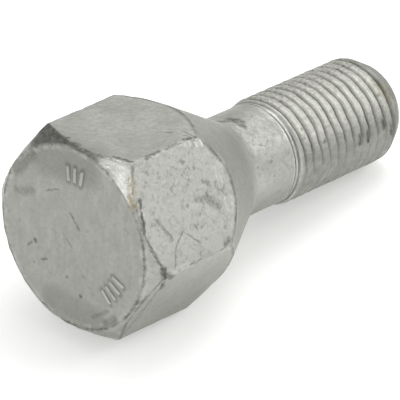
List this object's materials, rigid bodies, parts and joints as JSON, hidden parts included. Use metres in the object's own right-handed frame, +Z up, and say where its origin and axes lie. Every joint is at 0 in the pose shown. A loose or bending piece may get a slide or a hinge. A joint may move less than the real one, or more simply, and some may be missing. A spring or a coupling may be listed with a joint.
{
  "type": "wheel bolt",
  "caption": "Hexagon-head wheel bolt with a conical seat and a metric right-hand thread, clamping a wheel to its hub.",
  "frame": {"origin": "on the surface that the bolt lies on, below the middle of its bounding box", "axes": "+X from the head face towards the tip, along the lying bolt, whose axis dips 8.4 degrees to the tip; +Y across the head through two opposite corners; +Z up"},
  "size_m": [0.0556, 0.0274, 0.0261],
  "materials": {
    "zinc_coated_steel": "dull zinc-flake coating on forged and rolled steel"
  },
  "bodies": {
    "root": {"wheel_bolt": "zinc_coated_steel"}
  },
  "joints": []
}
